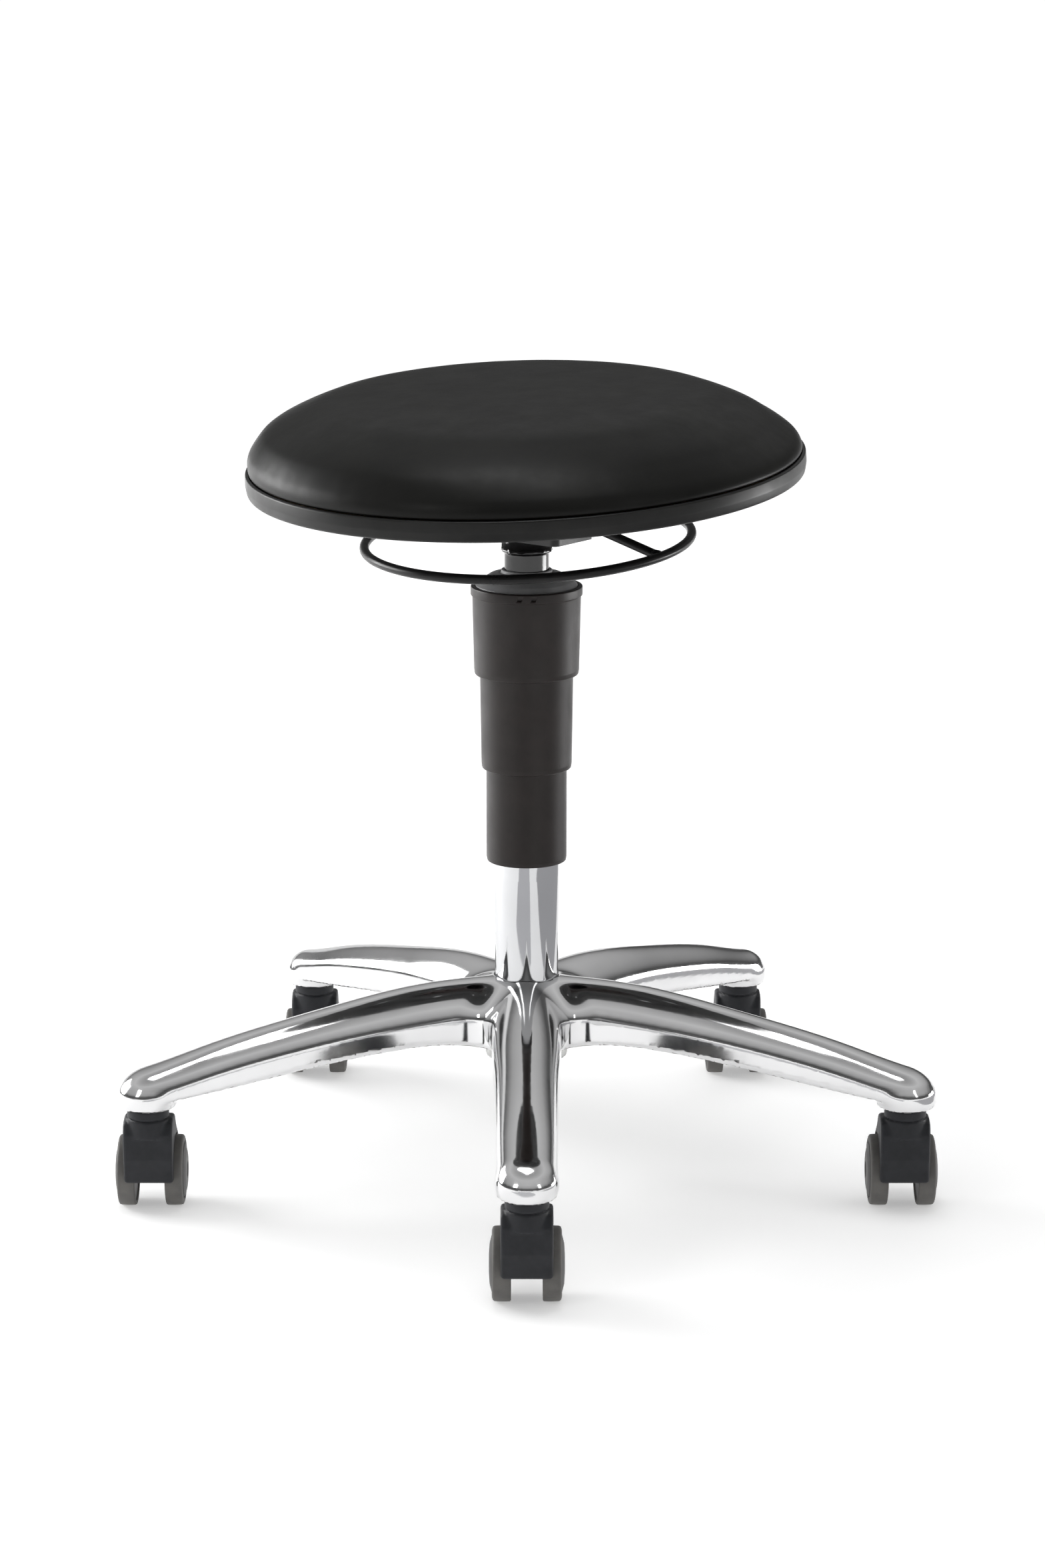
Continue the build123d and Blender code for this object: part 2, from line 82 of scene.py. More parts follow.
# =============================================================== materials
class Look:
    """One material on the Principled shader, with nodes added by short calls."""

    def __init__(self, name, color, rough, metal=0.0):
        self.mat = bpy.data.materials.new(name)
        self.mat.use_nodes = True
        self.tree = self.mat.node_tree
        self.shader = self.tree.nodes["Principled BSDF"]
        self.shader.inputs["Base Color"].default_value = (*color, 1)
        self.shader.inputs["Roughness"].default_value = rough
        self.shader.inputs["Metallic"].default_value = metal
        places = self.tree.nodes.new("ShaderNodeTexCoord")
        self.coords, self.normals = places.outputs["Object"], places.outputs["Normal"]

    def add(self, kind, **inputs):
        node = self.tree.nodes.new("ShaderNode" + kind)
        for key, value in inputs.items():
            socket = node.inputs[key.replace("_", " ")]
            if isinstance(value, bpy.types.NodeSocket):
                self.tree.links.new(value, socket)
            else:
                socket.default_value = value
        return node

    def link(self, output, name):
        self.tree.links.new(output, self.shader.inputs[name])
        return self

    def stretched(self, scale):
        return self.add("Mapping", Vector=self.coords, Scale=scale).outputs["Vector"]

    def noise(self, scale, detail=4.0, rough=0.55, stretch=None):
        vector = self.stretched(stretch) if stretch else self.coords
        node = self.add("TexNoise", Vector=vector, Scale=scale, Detail=detail, Roughness=rough)
        return node.outputs["Fac"]

    def cells(self, scale, feature="DISTANCE_TO_EDGE"):
        node = self.add("TexVoronoi", Vector=self.coords, Scale=scale)
        node.feature = feature
        return node.outputs["Distance"]

    def ramp(self, value, start, end, out_start, out_end):
        node = self.add("MapRange", Value=value)
        numbers = {"From Min": start, "From Max": end, "To Min": out_start, "To Max": out_end}
        for key, number in numbers.items():
            node.inputs[key].default_value = number
        return node.outputs["Result"]

    def colors(self, value, first, second, start=0.35, end=0.65):
        node = self.tree.nodes.new("ShaderNodeValToRGB")
        node.color_ramp.elements[0].position = start
        node.color_ramp.elements[1].position = end
        node.color_ramp.elements[0].color = (*first, 1)
        node.color_ramp.elements[1].color = (*second, 1)
        self.tree.links.new(value, node.inputs["Fac"])
        return self.link(node.outputs["Color"], "Base Color")

    def roughness(self, value, lowest, highest):
        return self.link(self.ramp(value, 0.3, 0.7, lowest, highest), "Roughness")

    def bump(self, value, depth_mm, strength=1.0, after=None):
        node = self.add("Bump", Height=value, Distance=depth_mm * MM, Strength=strength)
        if after:
            self.tree.links.new(after.outputs["Normal"], node.inputs["Normal"])
        self.tree.links.new(node.outputs["Normal"], self.shader.inputs["Normal"])
        return node

    def set(self, **values):
        for key, value in values.items():
            self.shader.inputs[key.replace("_", " ")].default_value = value
        return self


def grained_plastic(name, dark, light, grain_scale, depth_mm, rough, shine=0.5):
    look = Look(name, dark, rough)
    look.set(Specular_IOR_Level=shine)
    grain = look.noise(grain_scale, 3, 0.6)
    look.colors(look.noise(60, 3), dark, light)
    look.roughness(look.noise(35, 4), rough - 0.06, rough + 0.08)
    look.bump(grain, depth_mm, 0.6)
    return look.mat


def leather():
    look = Look("black_leather", (0.005, 0.005, 0.0045), 0.42)
    look.colors(look.noise(28, 5), (0.003, 0.003, 0.0025), (0.0048, 0.0048, 0.004))
    look.roughness(look.noise(45, 5, 0.65), 0.36, 0.46)
    look.set(Specular_IOR_Level=0.16)
    pores = look.bump(look.cells(1150), 0.05, 0.3)
    folds = look.bump(look.noise(320, 5, 0.6), 0.09, 0.4, after=pores)
    look.bump(look.noise(20, 2, 0.4), 0.6, 0.3, after=folds)
    return look.mat


def polished_metal(name, color, rough_low, rough_high, haze_scale, swirl_mm):
    look = Look(name, color, rough_low, 1.0)
    tint = tuple(c * 0.94 for c in color)
    look.colors(look.noise(haze_scale, 4), tint, color)
    look.roughness(look.noise(haze_scale * 2.2, 5, 0.6), rough_low, rough_high)
    look.bump(look.noise(90, 2, 0.4), swirl_mm, 0.25)
    return look.mat


def turned_steel(name, color, rough):
    look = Look(name, color, rough, 1.0)
    look.roughness(look.noise(260, 3, 0.5, stretch=(1, 1, 9)), rough - 0.06, rough + 0.1)
    look.colors(look.noise(40, 4), tuple(c * 0.85 for c in color), color)
    look.bump(look.noise(420, 2, 0.5, stretch=(1, 1, 8)), 0.02, 0.3)
    return look.mat


def sand_cast():
    look = Look("cast_aluminium", (0.52, 0.52, 0.51), 0.45, 1.0)
    look.colors(look.noise(70, 5), (0.4, 0.4, 0.39), (0.6, 0.6, 0.59))
    look.roughness(look.noise(160, 5), 0.38, 0.58)
    look.bump(look.noise(700, 4, 0.6), 0.16, 0.7)
    return look.mat


def gloss_black(name, rough, dents_mm, shine):
    look = Look(name, (0.012, 0.012, 0.013), rough)
    look.roughness(look.noise(60, 4), rough - 0.05, rough + 0.08)
    look.colors(look.noise(90, 3), (0.005, 0.005, 0.0055), (0.009, 0.0085, 0.0085))
    look.set(Specular_IOR_Level=shine)
    look.bump(look.noise(140, 3, 0.5), dents_mm, 0.4)
    return look.mat


def plywood():
    """Bare edges and top, with the face that looks down painted black."""
    look = Look("plywood", (0.5, 0.36, 0.22), 0.6)
    grain = look.noise(22, 6, 0.62, stretch=(1.2, 14, 60))
    look.colors(grain, (0.36, 0.24, 0.13), (0.62, 0.47, 0.3), 0.3, 0.7)
    wood = look.shader.inputs["Base Color"].links[0].from_socket
    facing = look.add("SeparateXYZ", Vector=look.normals).outputs["Z"]
    paint = look.add("Mix", Factor=look.ramp(facing, -0.9, -0.5, 1.0, 0.0))
    paint.data_type = "RGBA"
    look.tree.links.new(wood, paint.inputs["A"])
    paint.inputs["B"].default_value = (0.007, 0.007, 0.007, 1)
    look.link(paint.outputs["Result"], "Base Color")
    look.roughness(grain, 0.5, 0.72)
    look.bump(grain, 0.15, 0.5)
    return look.mat


def foam():
    look = Look("foam", (0.72, 0.66, 0.48), 0.9)
    bubbles = look.cells(700, "F1")
    # Each bubble is darker towards its middle, where the bump below sinks it into a pit: this is painted
    # shade in the pits.
    look.colors(bubbles, (0.6, 0.53, 0.36), (0.78, 0.72, 0.54), 0.1, 0.6)
    look.bump(bubbles, 0.3, 0.8)
    return look.mat


def tread():
    look = Look("soft_tread", (0.1, 0.095, 0.09), 0.62)
    dust = look.noise(55, 5, 0.6)
    look.colors(dust, (0.085, 0.082, 0.077), (0.125, 0.12, 0.112))
    look.roughness(dust, 0.52, 0.7)
    look.bump(look.noise(900, 3, 0.6), 0.05, 0.5)
    return look.mat


LEATHER = leather()
BAND = grained_plastic(
    "band_plastic", (0.005, 0.005, 0.0047), (0.008, 0.008, 0.0075), 1400, 0.03, 0.36, 0.25
)
COVER = grained_plastic(
    "cover_plastic", (0.0088, 0.0052, 0.0042), (0.0125, 0.0078, 0.0066), 1500, 0.05, 0.4, 0.35
)
HOOD = grained_plastic(
    "hood_plastic", (0.011, 0.012, 0.0145), (0.018, 0.019, 0.023), 1300, 0.07, 0.5, 0.3
)
DISC = grained_plastic(
    "wheel_disc_plastic", (0.035, 0.034, 0.033), (0.05, 0.048, 0.046), 1200, 0.05, 0.5
)
CAP = grained_plastic("grey_plastic", (0.2, 0.2, 0.205), (0.25, 0.25, 0.255), 1300, 0.05, 0.42)
NYLON = grained_plastic("black_nylon", (0.02, 0.02, 0.02), (0.03, 0.03, 0.03), 1200, 0.04, 0.5)
POWDER = grained_plastic(
    "powder_coat", (0.014, 0.014, 0.014), (0.02, 0.02, 0.02), 900, 0.09, 0.45
)
RUBBER = grained_plastic("rubber", (0.02, 0.02, 0.02), (0.032, 0.031, 0.03), 800, 0.06, 0.75)
RING_PAINT = gloss_black("ring_paint", 0.3, 0.05, 0.25)
ENAMEL = gloss_black("black_enamel", 0.13, 0.25, 0.7)
TREAD = tread()
ALUMINIUM = polished_metal("polished_aluminium", (0.78, 0.78, 0.785), 0.06, 0.14, 14, 0.05)
CHROME = polished_metal("chrome_tube", (0.62, 0.625, 0.635), 0.03, 0.07, 20, 0.01)
CAST = sand_cast()
STEEL = turned_steel("steel", (0.55, 0.55, 0.56), 0.3)
ZINC = turned_steel("zinc_steel", (0.62, 0.63, 0.64), 0.26)
BRASS = turned_steel("brass", (0.72, 0.53, 0.26), 0.28)
PLYWOOD = plywood()
FOAM = foam()

SLOT_LOOKS = {
    "spring_steel": STEEL, "steel": STEEL, "hard_chrome": CHROME, "brass": BRASS, "rubber": RUBBER,
    "black_nylon": NYLON, "black_enamel": ENAMEL, "black_powder_coat": POWDER, "zinc_steel": ZINC,
    "plywood": PLYWOOD, "foam": FOAM, "chrome_tube": CHROME, "cover_plastic": COVER, "grey_plastic": CAP,
    "hood_plastic": HOOD, "wheel_plastic": TREAD, "ring_paint": RING_PAINT, "band_plastic": BAND,
    "black_leather": LEATHER, "polished_aluminium": ALUMINIUM,
}
for part in frame["record"]["subparts"]:
    holder = NODES[part["node"]]
    holder.data.materials.clear()
    holder.data.materials.append(SLOT_LOOKS[part["material_slot"]])


# =============================================================== mesh helpers
def in_scene(name, data):
    """New object, linked to the scene."""
    obj = bpy.data.objects.new(name, data)
    bpy.context.scene.collection.objects.link(obj)
    return obj


def piece(name, mesh, body, replaced, materials, place=(0, 0, 0)):
    """Visible piece that rides on a body. Materials are for a mesh that has none yet."""
    obj = in_scene(name, mesh)
    obj.location = place
    if len(mesh.materials) == 0:
        for material in materials:
            mesh.materials.append(material)
    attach(obj, body)
    if replaced:
        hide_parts(*replaced)
    return obj


def mesh_of(name, points, faces, smooth=True):
    mesh = bpy.data.meshes.new(name)
    mesh.from_pydata([tuple(p) for p in points], [], [tuple(f) for f in faces])
    mesh.validate()
    mesh.polygons.foreach_set("use_smooth", [smooth] * len(mesh.polygons))
    mesh.update()
    return mesh


def rounded(corners, steps=5):
    """Outline in millimetres with each corner (across, up, radius) rounded; returns metres."""
    count, line = len(corners), []
    for i, (a, b, radius) in enumerate(corners):
        here = Vector((a, b))
        before = Vector(corners[i - 1][:2]) - here
        after = Vector(corners[(i + 1) % count][:2]) - here
        if radius <= 0:
            line.append(here * MM)
            continue
        half = before.angle(after) / 2
        reach = min(radius / np.tan(half), before.length * 0.49, after.length * 0.49)
        start, end = here + before.normalized() * reach, here + after.normalized() * reach
        for step in range(steps + 1):
            t = step / steps
            line.append(((1 - t) ** 2 * start + 2 * t * (1 - t) * here + t * t * end) * MM)
    return line


def lathe(name, outline, segments=96, axis="Z", wobble=None):
    """Closed outline of (radius, height) turned about an axis. A radius of 0 closes at the middle."""
    points, faces, rings = [], [], []
    for r, h in outline:
        if r < 1e-7:
            rings.append([len(points)] * segments)
            points.append((0, 0, h))
            continue
        ring = []
        for s in range(segments):
            angle = 2 * pi * s / segments
            reach = r + (wobble(angle, r, h) if wobble else 0)
            ring.append(len(points))
            points.append((reach * cos(angle), reach * sin(angle), h))
        rings.append(ring)
    for i, ring in enumerate(rings):
        other = rings[(i + 1) % len(rings)]
        for s in range(segments):
            t = (s + 1) % segments
            corner = [ring[s], ring[t], other[t], other[s]]
            face = list(dict.fromkeys(corner))
            if len(face) > 2:
                faces.append(face)
    if axis == "X":
        points = [(z, x, y) for x, y, z in points]
    mesh = mesh_of(name, points, faces)
    recalc(mesh)
    return mesh


def recalc(mesh):
    """Faces turned to point outwards."""
    bm = bmesh.new()
    bm.from_mesh(mesh)
    bmesh.ops.recalc_face_normals(bm, faces=bm.faces)
    bm.to_mesh(mesh)
    bm.free()
    mesh.update()


def tube(name, path, radius, segments=20):
    """Round rod along a list of points in one vertical plane, with closed ends."""
    side = (path[-1] - path[0]).cross(Vector((0, 0, 1))).normalized()
    points, faces = [], []
    for i, point in enumerate(path):
        ahead = path[min(i + 1, len(path) - 1)] - path[max(i - 1, 0)]
        up = side.cross(ahead).normalized()
        for s in range(segments):
            angle = 2 * pi * s / segments
            points.append(point + radius * (cos(angle) * side + sin(angle) * up))
    for i in range(len(path) - 1):
        for s in range(segments):
            t = (s + 1) % segments
            a, b = i * segments, (i + 1) * segments
            faces.append((a + s, a + t, b + t, b + s))
    faces.append(range(segments))
    faces.append(range((len(path) - 1) * segments, len(path) * segments))
    mesh = mesh_of(name, points, faces)
    recalc(mesh)
    return mesh


def smin(a, b, k):
    """Union of two fields, with a fillet of about k."""
    h = np.maximum(k - np.abs(a - b), 0) / k
    return np.minimum(a, b) - h * h * k / 4


def smax(a, b, k):
    """Overlap of two fields, with the same fillet."""
    return -smin(-a, -b, k)


def field_mesh(name, field, lowest, highest, step, rounds=2):
    """Quad mesh of the surface where the field is 0, relaxed and pulled onto it."""
    axes = [np.arange(a - 2 * step, b + 3 * step, step) for a, b in zip(lowest, highest)]
    values = field(*np.meshgrid(*axes, indexing="ij"))
    inside = values < 0
    shape = [n - 1 for n in inside.shape]
    total = np.zeros((*shape, 3))
    hits = np.zeros(shape)
    for d in range(3):
        e, f = [a for a in range(3) if a != d]
        for shift_e in (0, 1):
            for shift_f in (0, 1):
                first = [slice(0, n) for n in shape]
                first[e] = slice(shift_e, shift_e + shape[e])
                first[f] = slice(shift_f, shift_f + shape[f])
                second = list(first)
                second[d] = slice(1, 1 + shape[d])
                va, vb = values[tuple(first)], values[tuple(second)]
                cross = (va < 0) != (vb < 0)
                t = np.where(cross, va / np.where(cross, va - vb, 1), 0)
                hits += cross
                total[..., d] += t
                total[..., e] += cross * shift_e
                total[..., f] += cross * shift_f
    active = hits > 0
    index = np.full(shape, -1)
    index[active] = np.arange(active.sum())
    origin = np.array([axis[0] for axis in axes])
    points = origin + step * (np.argwhere(active) + total[active] / hits[active][:, None])
    quads = []
    for d in range(3):
        e, f = (d + 1) % 3, (d + 2) % 3
        first = [slice(1, n) for n in shape]
        second = list(first)
        first[d], second[d] = slice(0, shape[d]), slice(1, shape[d] + 1)
        change = inside[tuple(first)].astype(int) - inside[tuple(second)].astype(int)
        for sign in (1, -1):
            at = np.argwhere(change == sign) + np.array([0 if a == d else 1 for a in range(3)])
            shifts = [(0, 0), (1, 0), (1, 1), (0, 1)]
            corners = []
            for se, sf in (shifts if sign < 0 else shifts[::-1]):
                cell = at.copy()
                cell[:, e] -= se
                cell[:, f] -= sf
                corners.append(index[tuple(cell.T)])
            quads.append(np.stack(corners, 1))
    quads = np.concatenate(quads)

    def settle(p):
        """Points moved along the field's slope onto its surface."""
        probe, least_slope = 0.05, 0.09
        for _ in range(3):
            value = field(*p.T)
            slope = np.stack([
                (field(*(p + d).T) - field(*(p - d).T)) / (2 * probe) for d in np.eye(3) * probe
            ], 1)
            size = np.maximum((slope ** 2).sum(1), least_slope)
            p = p - np.clip(value / size, -step, step)[:, None] * slope
        return p

    points = settle(points)
    edges = np.concatenate([quads[:, [a, (a + 1) % 4]] for a in range(4)])
    for _ in range(rounds):
        total, hits = np.zeros_like(points), np.zeros(len(points))
        for a, b in (edges.T, edges.T[::-1]):
            np.add.at(total, a, points[b])
            np.add.at(hits, a, 1)
        points = settle(points * 0.4 + 0.6 * total / np.maximum(hits, 1)[:, None])
    return mesh_of(name, points * MM, quads.tolist())


def applied(obj):
    """The object's mesh with its modifiers applied."""
    deps = bpy.context.evaluated_depsgraph_get()
    return bpy.data.meshes.new_from_object(obj.evaluated_get(deps))


def cut(obj, cutter):
    """Exact boolean difference, applied. The cutter is used up."""
    modifier = obj.modifiers.new("cut", "BOOLEAN")
    modifier.object, modifier.solver, modifier.operation = cutter, "EXACT", "DIFFERENCE"
    materials = list(obj.data.materials)
    obj.data = applied(obj)
    obj.modifiers.clear()
    obj.data.materials.clear()
    for material in materials:
        obj.data.materials.append(material)
    bpy.data.objects.remove(cutter)


# =============================================================== star base
def smooth_curve(knots):
    """Natural cubic spline through (x, y) knots, as a fast lookup."""
    x, y = np.array(knots, float).T
    gaps, n = np.diff(x), len(x)
    system, right = np.eye(n), np.zeros(n)
    for i in range(1, n - 1):
        system[i, i - 1:i + 2] = gaps[i - 1], 2 * (gaps[i - 1] + gaps[i]), gaps[i]
        right[i] = 6 * ((y[i + 1] - y[i]) / gaps[i] - (y[i] - y[i - 1]) / gaps[i - 1])
    bend = np.linalg.solve(system, right)
    dense = np.arange(x[0], x[-1], 0.5)
    i = np.clip(np.searchsorted(x, dense, side="right") - 1, 0, n - 2)
    a, b, g = x[i + 1] - dense, dense - x[i], gaps[i]
    fine = (bend[i] * a ** 3 + bend[i + 1] * b ** 3) / (6 * g)
    fine += (y[i] / g - bend[i] * g / 6) * a + (y[i + 1] / g - bend[i + 1] * g / 6) * b
    return lambda at: np.interp(at, dense, fine)


# Sizes of a leg against the distance from the column axis.
LEG_HALF_WIDTH = smooth_curve([
    (0, 27.5), (60, 25.6), (110, 24.6), (150, 22.9), (200, 21.8), (250, 21.1), (330, 20.8),
])
LEG_CREST = smooth_curve([
    (0, 156.2), (40, 156.1), (70, 155.2), (100, 152.2), (150, 143.3),
    (200, 133.2), (240, 123.6), (280, 112), (300, 107), (330, 101),
])
LEG_SHOULDER = smooth_curve([
    (0, 138), (59, 136), (122, 131), (185, 121.5), (246, 109), (291, 98.5), (330, 96),
])
LEG_UNDER = smooth_curve([
    (0, 107), (38, 108.5), (70, 113), (122, 111.5), (164, 106), (205, 99.5), (247, 93), (330, 83),
])
CROWN_POWER = smooth_curve([(0, 2.3), (180, 2.3), (240, 2.5), (280, 3.0), (300, 3.4), (330, 3.5)])
CROTCH_FILLET = 26
TIP_PLACE, TIP_R, TIP_BOTTOM, TIP_RISE = STEM_CIRCLE / MM, 20.8, 82, 13
WALL, CROWN_WALL, TIP_WALL, HUB_WALL_R = 5.5, 8.5, 262, 50
RIBS, RIB_HALF = (118, 176, 230), 1.75
BOSS_R, BOSS_LOW, BOSS_HIGH = 31, 94, 146
BASE_TOP, BASE_STEP = 157, 2.6
BORE_R, BORE_Z, BORE_TAPER, BORE_CHAMFER = 22.52, 60, 0.0093, 1.6
SOCKET_R, SOCKET_TOP = 6.4, 100.8


def leg_plan(r, angle):
    """Field of one leg seen from above, with the place along and across the leg."""
    u, v = r * np.cos(angle), r * np.abs(np.sin(angle))
    side = v - LEG_HALF_WIDTH(np.maximum(u, 0))
    tip = np.hypot(u - TIP_PLACE, v) - TIP_R
    back = np.hypot(u, v) - LEG_HALF_WIDTH(0)
    return np.where(u > TIP_PLACE, tip, np.where(u < 0, back, side)), u, v


def star_parts(x, y, z):
    """Fields of the whole casting and of the hollow under it."""
    r = np.hypot(x, y)
    angle = np.arctan2(y, x) - FRONT
    angle = np.abs(angle - LEG_TURN * np.round(angle / LEG_TURN))
    plan, u, v = leg_plan(r, angle)
    plan = smin(plan, leg_plan(r, LEG_TURN - angle)[0], CROTCH_FILLET)
    crest, shoulder = LEG_CREST(r), LEG_SHOULDER(r)
    spread = np.clip(1 + plan / LEG_HALF_WIDTH(r), 0, 1.3)
    top = crest - (crest - shoulder) * spread ** CROWN_POWER(r)
    body = smax(plan, (z - top) * 0.8, 4)
    body = smax(body, LEG_UNDER(r) - z, 3)
    tip = smax(np.hypot(u - TIP_PLACE, v) - TIP_R, TIP_BOTTOM - z, 2)
    tip = smax(tip, z - TIP_BOTTOM - TIP_RISE, 4)
    body = smin(body, tip, 4)
    boss = smax(smax(r - BOSS_R, BOSS_LOW - z, 2), z - BOSS_HIGH, 2)
    body = smin(body, boss, 4)
    hollow = smax(plan + WALL, z - top + CROWN_WALL, 5)
    hollow = smax(hollow, u - TIP_WALL, 3)
    hollow = smax(hollow, BOSS_R - r, 3)
    hollow = smax(hollow, RIB_HALF - np.abs(r - HUB_WALL_R), 2)
    for rib in RIBS:
        hollow = smax(hollow, RIB_HALF - np.abs(u - rib), 2)
    return body, hollow


def star_field(x, y, z):
    body, hollow = star_parts(x, y, z)
    return smax(body, -hollow, 2.5)


def bore_cutter():
    """Tapered hole for the stand tube, with a chamfer at the top."""
    def radius(z):
        return BORE_R + BORE_TAPER * (z - BORE_Z)

    start, seam, end = 80, 154, 157.5
    outline = [(0, start), (radius(start), start), (radius(seam), seam)]
    outline += [(radius(seam) + BORE_CHAMFER, end), (0, end)]
    return in_scene("bore", lathe("bore", [(r * MM, h * MM) for r, h in outline], 128))


def socket_cutter():
    """Blind holes for the caster stems, one in each leg tip."""
    outline = [(0, 70), (SOCKET_R, 70), (SOCKET_R, SOCKET_TOP), (0, SOCKET_TOP)]
    socket = lathe("socket", [(r * MM, h * MM) for r, h in outline], 32)
    merged = bmesh.new()
    for place in STEM_PLACES:
        copy = socket.copy()
        copy.transform(Matrix.Translation(place))
        merged.from_mesh(copy)
    sockets = bpy.data.meshes.new("sockets")
    merged.to_mesh(sockets)
    merged.free()
    return in_scene("sockets", sockets)


def make_star_base():
    reach = TIP_PLACE + TIP_R
    lowest, highest = (-reach, -reach, TIP_BOTTOM), (reach, reach, BASE_TOP)
    mesh = field_mesh("star_base_polished", star_field, lowest, highest, BASE_STEP)
    for material in (ALUMINIUM, CAST):
        mesh.materials.append(material)
    obj = piece("star_base_polished", mesh, "base", ["star_base"], [])
    cut(obj, bore_cutter())
    cut(obj, socket_cutter())
    # The hollow and every face that looks down stay as cast; the rest is polished.
    near_hollow, facing_down = 1.2, -0.75
    centres = np.array([p.center for p in obj.data.polygons]) / MM
    hollow = np.abs(star_parts(*centres.T)[1]) < near_hollow
    underside = np.array([p.normal.z for p in obj.data.polygons]) < facing_down
    obj.data.polygons.foreach_set("material_index", (hollow | underside).astype(int))
    obj.data.polygons.foreach_set("use_smooth", [True] * len(obj.data.polygons))
    obj.data.update()


make_star_base()


# =============================================================== cushion and edge band
BAR_AZIMUTH = radians(-38)
PIVOT = Vector((0, 0, 516 * MM))
SEAT_TILT = radians(4.2)
SEATED = (
    Matrix.Rotation(BAR_AZIMUTH, 4, "Z") @ Matrix.Translation(PIVOT)
    @ Matrix.Rotation(SEAT_TILT, 4, "X") @ Matrix.Translation(-PIVOT)
)


def level_size(node):
    """Bottom, top and radius, in millimetres, of a round seat part before it is tilted."""
    unseat = SEATED.inverted()
    coords = np.array([unseat @ v.co for v in NODES[node].data.vertices]) / MM
    return coords[:, 2].min(), coords[:, 2].max(), np.hypot(coords[:, 0], coords[:, 1]).max()


CUSHION_LOW, CUSHION_HIGH, CUSHION_R = level_size("seat_cover")
CROWN_ARCS = ((20.0, 37.0), (70.0, 26.0), (121.0, 23.5))
SHRINK, EDGE_RISE = 0.8, 3
CLOTH_VOXEL, CLOTH_PRESSURE, CLOTH_STEPS = 5, 4.0, 20
SWELL_CAP, EVEN_ROUNDS = 1.6, 90
CROWN_SHIFT, CROWN_LEAN = 4, 0.014
GATHER_HEIGHT, GATHER_SPREAD, GATHER_DEPTH, HOLLOW_DEPTH = 12, 16, 0.25, 0.5


def crown_outline(shrink):
    """Dome of tangent arcs, each a radius and a turn, from the tucked-in edge to the middle."""
    line, heading = [], 90.0
    x, z = CUSHION_R - shrink, CUSHION_LOW + EDGE_RISE
    turns = sum(turn for _, turn in CROWN_ARCS)
    arcs = [(radius - shrink, turn) for radius, turn in CROWN_ARCS]
    for radius, turn in [*arcs, (None, 90 - turns)]:
        if radius is None:
            radius = x / sin(radians(turn))
        steps = max(6, int(radius * radians(turn) / 6))
        inward = radians(heading + 90)
        cx, cz = x + radius * cos(inward), z + radius * sin(inward)
        for step in range(1, steps + 1):
            a = heading - 90 + turn * step / steps
            line.append((cx + radius * cos(radians(a)), cz + radius * sin(radians(a))))
        x, z = line[-1]
        heading += turn
    return line


def make_cushion():
    dome = crown_outline(SHRINK)
    tuck = [
        (0, CUSHION_LOW), (CUSHION_R - 5, CUSHION_LOW), (CUSHION_R - 2, CUSHION_LOW + 0.2),
        (CUSHION_R - SHRINK - 0.3, CUSHION_LOW + 1.2), (CUSHION_R - SHRINK, CUSHION_LOW + EDGE_RISE),
    ]
    room = 1.2
    scale_z = (CUSHION_HIGH - CUSHION_LOW - room) / (dome[-1][1] - CUSHION_LOW)
    outline = [
        (r * MM, (CUSHION_LOW + (h - CUSHION_LOW) * scale_z) * MM) for r, h in [*tuck, *dome[:-1]]
    ]
    outline.append((0, outline[-1][1] + 0.00001))
    mesh = lathe("seat_cushion", outline, 160)
    replaced = ["seat_cover", "seat_foam"]
    obj = piece("seat_cushion", mesh, "seat", replaced, [LEATHER])
    inflate(obj)
    dress_cushion(obj)
    obj.data.transform(SEATED)
    settle_cushion(obj)


def settle_cushion(obj):
    """Foam worn a little lower on the right, with the crown pushed to the left."""
    unseat = SEATED.inverted()
    clear, full = 2, 22
    for vertex in obj.data.vertices:
        p = vertex.co
        lift = min(1, max(0, ((unseat @ p).z / MM - CUSHION_LOW - clear) / full))
        p.z -= CROWN_LEAN * p.x * lift
        p.x -= CROWN_SHIFT * MM * lift


def evened(mesh, shift, rounds):
    """Swelling averaged over neighbours, so that tight leather shows no loose folds."""
    edges = np.array([e.vertices[:] for e in mesh.edges])
    hits = np.maximum(np.bincount(edges.ravel(), minlength=len(shift)), 1)[:, None]
    for _ in range(rounds):
        total = np.zeros_like(shift)
        for a, b in (edges.T, edges.T[::-1]):
            for axis in range(3):
                total[:, axis] += np.bincount(a, weights=shift[b, axis], minlength=len(shift))
        shift = 0.3 * shift + 0.7 * total / hits
    return shift


